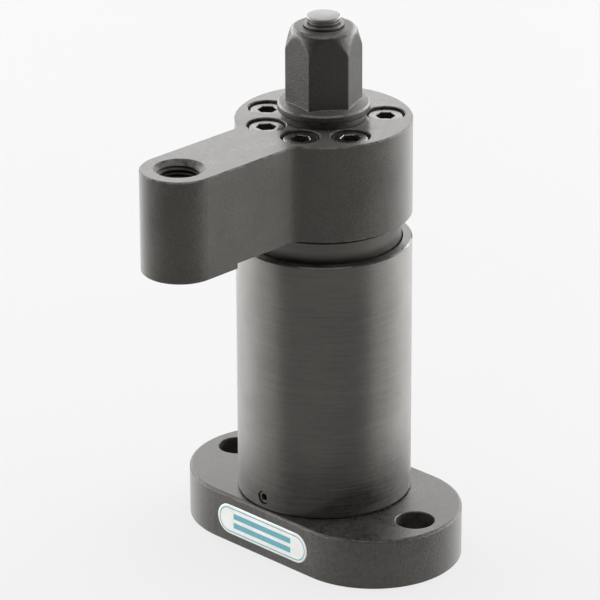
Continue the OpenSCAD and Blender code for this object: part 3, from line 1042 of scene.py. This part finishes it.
@dataclass
class SpindleUnit(SubAssembly):
    """The fixed spindle with its thread."""

    head_r: float = 11.0
    head_top: float = 7.0
    head_round: float = 0.4
    bar_r: float = 6.0
    bar_round: float = 0.15
    run_in: float = 0.3
    row_gap: float = 0.05
    thread_r: float = 5.43
    thread_low: float = 117.32
    thread_top: float = 155.04
    pitch: float = 1.75
    thread_depth: float = 0.95
    thread_fade: float = 0.6
    tooth_flat: float = 0.12
    neck_r: float = 4.4
    end_r: float = 4.875
    end_h: float = 0.75
    end_round: float = 0.38
    end_foot_round: float = 0.1
    groove_r: float = 4.3
    groove_h: float = 0.55
    land_r: float = 4.7
    land_h: float = 0.28
    land_round: float = 0.06
    ring_mouth: float = 40.0
    ring_mouth_angle: float = 135.0
    ring_round: float = 0.3
    ring_play: float = 0.02
    key_angle: float = 225.0
    key_r: float = 1.52
    columns: int = 120
    rows_per_turn: int = 12

    def build(self) -> None:
        """Makes the spindle and the ring in its neck."""
        self.place(self.spindle(), Body.BASE, Slot.BRIGHT, SPINDLE_STEEL, "spindle")
        self.place(self.ring(), Body.BASE, Slot.SPRING, RING_STEEL, "retaining_ring")

    def spindle(self) -> bpy.types.Object:
        """A line of arcs turned about the axis, with a thread and a bite for the key pin.

        Along the thread, the distance from the axis sinks by a rounded saw tooth of the height over the pitch less
        the share of the turn, and the tooth fades out at both ends. At the key pin the head's distance from the
        axis is the near crossing of the ray with the pin's circle.

        Returns:
            The spindle.
        """
        low, top = heights("spindle")
        angle = around(self.columns)
        foot = rounded([(0.0, low, 0.0), (self.head_r, low, self.head_round),
                        (self.head_r, self.head_top, self.head_round), (self.bar_r, self.head_top, self.bar_round),
                        (self.bar_r, self.thread_low - self.run_in, 0.0), (self.thread_r, self.thread_low, 0.0)])
        rows = int((self.thread_top - self.thread_low) / self.pitch * self.rows_per_turn)
        run = np.linspace(self.thread_low + self.row_gap, self.thread_top - self.row_gap, rows)
        end_low = top - self.end_h
        land_top = end_low - self.groove_h
        land_low = land_top - self.land_h
        end = rounded([(self.thread_r, self.thread_top, 0.0), (self.neck_r, self.thread_top, 0.0),
                       (self.neck_r, land_low, 0.0), (self.land_r, land_low, self.land_round),
                       (self.land_r, land_top, self.land_round), (self.groove_r, land_top, 0.0),
                       (self.groove_r, end_low, 0.0), (self.end_r, end_low, self.end_foot_round),
                       (self.end_r, top, self.end_round), (0.0, top, 0.0)])
        tooth = np.abs(2 * ((run[:, None] / self.pitch - angle[None, :] / (2 * np.pi)) % 1.0) - 1)
        cut = np.clip((tooth - self.tooth_flat) / (1 - 2 * self.tooth_flat), 0, 1)
        fade = np.clip((run - self.thread_low) / self.pitch, 0, 1)
        fade = fade * np.clip((self.thread_top - run) / self.thread_fade, 0, 1)
        thread = self.thread_r - self.thread_depth * cut * fade[:, None]
        in_head = foot[:, 1:] < self.head_top + SLACK
        foot_r = np.where(in_head, np.minimum(foot[:, :1], self._key_bite(angle)), foot[:, :1])
        reach = np.concatenate([foot_r, thread, end[:, :1] + 0 * angle])
        height = np.concatenate([foot[:, 1], run, end[:, 1]])[:, None]
        return solid("threaded_spindle", [Sheet(lathe(reach, height, angle))])

    def ring(self) -> bpy.types.Object:
        """An open ring: a rectangle with round corners carried along an arc that leaves out the ring's mouth.

        Returns:
            The ring.
        """
        low, high = heights("retaining_ring")
        inner, outer, soft = self.neck_r + self.ring_play, half_width("retaining_ring"), self.ring_round
        middle = (inner + outer) / 2
        section = rounded([(middle, low, 0.0), (outer, low, soft), (outer, high, soft), (inner, high, soft),
                           (inner, low, soft), (middle, low, 0.0)])[:-1]
        start = self.ring_mouth_angle + self.ring_mouth / 2
        spin = np.radians(np.linspace(start, start + 360 - self.ring_mouth, self.columns))
        return solid("neck_ring", [swept(section[:, 0], section[:, 1], spin)])

    def _key_bite(self, angle: np.ndarray) -> np.ndarray:
        """Distance from the axis to the key pin's hole, or the head's own radius beside it.

        Args:
            angle: angles about the axis.

        Returns:
            The distances.
        """
        off = angle - np.radians(self.key_angle)
        aside = self.head_r * np.sin(off)
        bitten = (np.abs(aside) < self.key_r) & (np.cos(off) > 0)
        near = self.head_r * np.cos(off) - np.sqrt(np.maximum(self.key_r ** 2 - aside ** 2, 0))
        return np.where(bitten, near, self.head_r)


@dataclass
class SpringUnit(SubAssembly):
    """The return spring and the washer above it."""

    wire_r: float = 1.3
    coil_r: float = 11.2
    turns: int = 7
    closed_rise: float = 2.75
    stroke: float = 7.0
    steps_per_turn: int = 60
    sides: int = 16

    def build(self) -> None:
        """Makes the spring and dresses its washer."""
        self.dress({"spring_washer": BRONZE})
        low, high = heights("return_spring")
        spring = self.place(self.spring(low, high), Body.BASE, Slot.SPRING, SPRING_STEEL, "return_spring")
        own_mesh(spring)

    def spring(self, low: float, high: float) -> bpy.types.Object:
        """A round wire carried along a helix that rises slowly in its first and last turn.

        Args:
            low: the spring's lowest height.
            high: its highest.

        Returns:
            The spring.
        """
        total = self.turns + 2
        turn = np.linspace(0, total, total * self.steps_per_turn + 1)
        base, open_rise = low + self.wire_r, high - low - 2 * self.wire_r - 2 * self.closed_rise
        rise = np.interp(turn, [0, 1, 1 + self.turns, total],
                         [0, self.closed_rise, self.closed_rise + open_rise, 2 * self.closed_rise + open_rise])
        side = around(self.sides)
        height = base + rise[:, None] + self.wire_r * np.sin(side)
        return solid("coil_spring", [swept(self.coil_r + self.wire_r * np.cos(side), height, 2 * np.pi * turn)])


@dataclass
class NutUnit(SubAssembly):
    """The collar nut and the washer under it."""

    across_flats: float = 19.0
    corner_round: float = 0.7
    first_corner: float = -7.0
    top_inset: float = 0.42
    taper_h: float = 6.3
    crown_round: float = 1.2
    arch_round: float = 0.25
    arch_share: float = 1.1
    side_share: float = 1.15
    bore_r: float = 5.4815
    bore_sink: float = 0.3
    lip_gap: float = 0.2
    foot_round: float = 0.1
    collar_h: float = 2.5
    collar_edge: float = 0.5
    collar_round: float = 0.2
    collar_slope: float = 0.8
    collar_reach: float = 1.0
    hollow_round: float = 0.5
    hollow_h: float = 1.8
    row_gap: float = 0.1
    crown_rows: int = 18
    arch_rows: int = 44
    side_rows: int = 12
    hollow_rows: int = 44
    columns: int = 480

    def build(self) -> None:
        """Makes the nut and dresses the washer."""
        self.dress({"thrust_washer": NUT_STEEL})
        self.place(self.nut(), Body.NUT, Slot.OXIDE, NUT_STEEL, "hex_nut")

    def nut(self) -> bpy.types.Object:
        """One closed skin, from the top face down the outside, across the foot and up the bore.

        Outside, the distance from the axis is the soft lesser of a hexagon and of a cone that widens downwards,
        less the gap of a quarter circle at the crown, and below it the soft greater of that and of the collar's
        sloping top.

        Returns:
            The nut.
        """
        low, top = heights("hex_nut")
        collar_r = half_width("hex_nut")
        angle = around(self.columns)
        flat = self.across_flats / 2
        top_r, corner_r = flat - self.top_inset, flat / np.cos(np.pi / 6)
        collar_top = low + self.collar_h
        shoulder_r = collar_r - self.collar_edge
        crown = top - self.crown_round * (1 - np.cos(np.linspace(0, np.pi / 2, self.crown_rows)))
        arch_low, side_top = top - self.taper_h * self.arch_share, top - self.taper_h * self.side_share
        hollow_top = collar_top + self.hollow_h
        level = np.concatenate([crown, np.linspace(crown[-1] - self.row_gap, arch_low, self.arch_rows),
                                np.linspace(side_top, hollow_top + self.row_gap, self.side_rows),
                                np.linspace(hollow_top, collar_top, self.hollow_rows)])[:, None]
        above = np.clip(1 - (top - level) / self.crown_round, 0, 1)
        cone = top_r + (top - level) * (corner_r - top_r) / self.taper_h
        cone = cone - self.crown_round * (1 - np.sqrt(1 - above ** 2))
        sides = hexagon(angle, self.across_flats, self.first_corner, self.corner_round)[None, :]
        side = soft_least(cone, sides, self.arch_round)
        slope = shoulder_r - (level - collar_top) * (shoulder_r - flat + self.collar_reach) / self.collar_slope
        skin = -soft_least(-side, -slope, self.hollow_round)
        foot = rounded([(shoulder_r, collar_top, 0.0), (collar_r, collar_top - self.collar_edge, self.collar_round),
                        (collar_r, low + self.collar_edge, self.collar_round), (shoulder_r, low, self.foot_round),
                        (self.bore_r, low, self.foot_round), (self.bore_r, top - self.bore_sink, 0.0),
                        (self.bore_r + self.bore_sink, top, 0.0), (top_r - self.crown_round - self.lip_gap, top, 0.0)])
        reach = np.concatenate([skin, foot[1:, :1] + 0 * angle])
        height = np.concatenate([level, foot[1:, 1:]])
        return solid("collar_nut", [Sheet(lathe(reach, height, angle), wrap_rows=True)])


@dataclass
class ArmUnit(SubAssembly):
    """The arm with its sleeve, bush, six cap screws and the thread in its tip."""

    screw_circle_r: float = 17.4
    screw_places: tuple[tuple[float, float], ...] = ((-141, 8), (-69.5, 21), (-22.5, 47), (22.5, 33), (69.5, 12),
                                                     (141, 52))
    arm_angle: float = -90.0
    screw_r: float = 3.0
    head_r: float = 5.0
    head_h: float = 6.0
    socket_af: float = 5.0
    socket_depth: float = 3.0
    pitch: float = 1.25
    thread_share: float = 0.5413
    crest_half: float = 0.125
    foot_half: float = 0.44
    foot_sink: float = 0.06
    back_sink: float = 0.4
    run_out: float = 0.5
    sink_r: float = 7.2
    sink_gap: float = 0.03
    face_gap: float = 0.1
    steps_per_turn: int = 72

    def build(self) -> None:
        """Makes the screws and the tip's thread, and dresses arm, sleeve and bush."""
        self.dress({"swing_arm": ARM_STEEL, "swing_sleeve": SLEEVE_STEEL, "guide_bush": BRONZE})
        self.place(self.screws(), Body.ARM, Slot.SCREW, SCREW_STEEL, "arm_screws")
        self.place(self.tip_thread(), Body.ARM, Slot.OXIDE, ARM_STEEL)

    def screws(self) -> bpy.types.Object:
        """Six cap screws: one grid, turned by each socket's angle and moved to each place on the circle."""
        tip, top = heights("arm_screws")
        return solid("cap_screws", [self._screw(tip, top, place, turn) for place, turn in self.screw_places])

    def _screw(self, tip: float, top: float, place: float, turn: float) -> Sheet:
        """One cap screw.

        Args:
            tip: its lowest height.
            top: its highest.
            place: its angle from the arm's line, in degrees.
            turn: its socket's turn, in degrees.

        Returns:
            The screw's grid in its place.
        """
        where = np.radians(place + self.arm_angle)
        upright = SocketScrew(top=top, tip=tip, shank_r=self.screw_r, socket_af=self.socket_af,
                              socket_depth=self.socket_depth, socket_turn=turn + place + self.arm_angle,
                              head_r=self.head_r, head_h=self.head_h)
        shift = np.array([np.cos(where), np.sin(where), 0.0]) * self.screw_circle_r
        return Sheet(upright.sheet().points + shift)

    def tip_thread(self) -> bpy.types.Object:
        """An internal thread: a ridge of trapezium section carried along a helix inside the hole.

        The ridge's distance from the hole's axis is never less than that of the countersinks' cones, so the ridge
        runs out into both of them.

        Returns:
            The ridge.
        """
        mount = next(m for m in frame["record"]["mounts"] if m["name"] == "clamp_bolt_hole")
        hole = [metres / MM for metres in mount["pos_m"][:2]]
        wall, length = mount["dims"]["r_mm"], mount["dims"]["length_mm"]
        bottom, top = heights("swing_arm")
        crest, foot, back = wall - self.thread_share * self.pitch, wall + self.foot_sink, wall + self.back_sink
        low, high = bottom + self.run_out, top - self.run_out
        turn = np.linspace(0, (high - low) / self.pitch, int((high - low) / self.pitch * self.steps_per_turn))
        narrow, wide = self.crest_half, self.foot_half
        section_r = np.array([foot, crest, crest, foot, back, back])
        section_z = np.array([-wide, -narrow, narrow, wide, wide, -wide]) * self.pitch
        height = low + turn[:, None] * self.pitch + section_z
        cones = np.maximum(self.sink_r - (top - height), self.sink_r - (height - bottom)) + self.sink_gap
        height = np.clip(height, bottom + self.face_gap, top - self.face_gap)
        log.info("tip thread: %.1f mm of thread in a hole of %.1f mm", high - low, length)
        return solid("tip_thread", [swept(np.maximum(section_r, cones), height, 2 * np.pi * turn, hole)])


@dataclass
class Lamp:
    """A soft box: an area lamp that faces a point."""

    name: str
    place: tuple[float, float, float]
    width: float
    height: float
    watts: float
    target: tuple[float, float, float] = (0.0, 0.0, 0.08)

    def light(self) -> None:
        """Adds the lamp, in metres and watts, turned so that it shines at its target."""
        data = bpy.data.lights.new(self.name, "AREA")
        data.shape, data.size, data.size_y = "RECTANGLE", self.width, self.height
        data.energy = self.watts
        lamp = bpy.data.objects.new(self.name, data)
        bpy.context.scene.collection.objects.link(lamp)
        lamp.visible_camera = False
        lamp.location = self.place
        lamp.rotation_euler = (Vector(self.target) - Vector(self.place)).to_track_quat("-Z", "Y").to_euler()


@dataclass
class Studio:
    """Table, lamps, surroundings and camera."""

    camera_place: tuple[float, float, float] = (782.29, -798.53, 549.70)
    azimuth: float = 44.7633
    elevation: float = 23.1240
    roll: float = 0.2282
    focal_px: float = 4270.92
    image_px: float = 600.0
    sensor_mm: float = 36.0
    floor_half: float = 3000.0
    floor_lines: int = 13
    sky: float = 0.08
    wall: float = 0.7
    wall_low: float = 0.15
    wall_high: float = 0.4
    lamps: tuple[Lamp, ...] = field(default_factory=lambda: (
        Lamp("back_box", (-1.40, 1.40, 0.85), 2.4, 0.9, 25.0),
        Lamp("left_box", (-0.70, -0.48, 0.22), 1.4, 0.44, 13.0),
        Lamp("right_box", (0.49, 0.69, 0.22), 1.4, 0.44, 14.5),
        Lamp("left_rim_box", (-0.95, -0.07, 0.46), 1.2, 0.6, 12.5),
        Lamp("right_rim_box", (0.09, 0.95, 0.46), 1.2, 0.6, 12.5),
        Lamp("top_box", (0.36, -0.36, 1.41), 1.2, 1.2, 14.0),
    ))

    def build(self) -> None:
        """Sets up the table, the light and the camera."""
        bpy.context.scene.view_settings.view_transform = "Standard"
        self.floor()
        self.surroundings()
        for lamp in self.lamps:
            lamp.light()
        self.camera()

    def floor(self) -> None:
        """A flat square table top of a few cells."""
        line = np.linspace(-self.floor_half, self.floor_half, self.floor_lines)
        x, y = np.meshgrid(line, line, indexing="ij")
        top = solid("table_top", [Sheet(np.stack([x, y, np.zeros_like(x)], axis=-1), wrap_columns=False)])
        top.data.materials.append(FLOOR.material())

    def surroundings(self) -> None:
        """A dim even room with pale walls up to a low height, which the camera and reflections see."""
        world = bpy.data.worlds.new("pale_room")
        bpy.context.scene.world = world
        world.use_nodes = True
        graph = Graph(world.node_tree)
        height = graph.axis(graph.add("ShaderNodeTexCoord", out="Generated"), "Z")
        wall = height.rise(self.wall_high, self.wall_low) * graph.seen()
        room = graph.add("ShaderNodeBackground", {}, {"Color": (1.0, 1.0, 1.0, 1.0),
                                                      "Strength": self.sky + wall * (self.wall - self.sky)})
        graph.add("ShaderNodeOutputWorld", {}, {"Surface": room}, None)

    def camera(self) -> None:
        """A camera where the photograph's stood; its axes are turned about its line of sight by the roll."""
        turn, lift, roll = np.radians([self.azimuth, self.elevation, self.roll])
        right = np.array([np.cos(turn), np.sin(turn), 0.0])
        back = np.array([np.sin(turn) * np.cos(lift), -np.cos(turn) * np.cos(lift), np.sin(lift)])
        up = np.cross(back, right)
        axes = np.stack([right * np.cos(roll) - up * np.sin(roll), right * np.sin(roll) + up * np.cos(roll), back], 1)
        data = bpy.data.cameras.new("photo_camera")
        data.sensor_width = self.sensor_mm
        data.lens = self.focal_px / self.image_px * self.sensor_mm
        camera = bpy.data.objects.new("photo_camera", data)
        bpy.context.scene.collection.objects.link(camera)
        placed = Matrix(axes.tolist()).to_4x4()
        placed.translation = Vector(self.camera_place) * MM
        camera.matrix_world = placed
        bpy.context.scene.camera = camera


def main() -> None:
    """Builds the sub-assemblies in order, then the studio."""
    logging.basicConfig(level=logging.INFO, format="%(name)s: %(message)s")
    for unit in (BaseUnit(), SpindleUnit(), SpringUnit(), ArmUnit(), NutUnit(), Studio()):
        unit.build()
        log.info("built %s", type(unit).__name__)


if __name__ == "__main__":
    main()
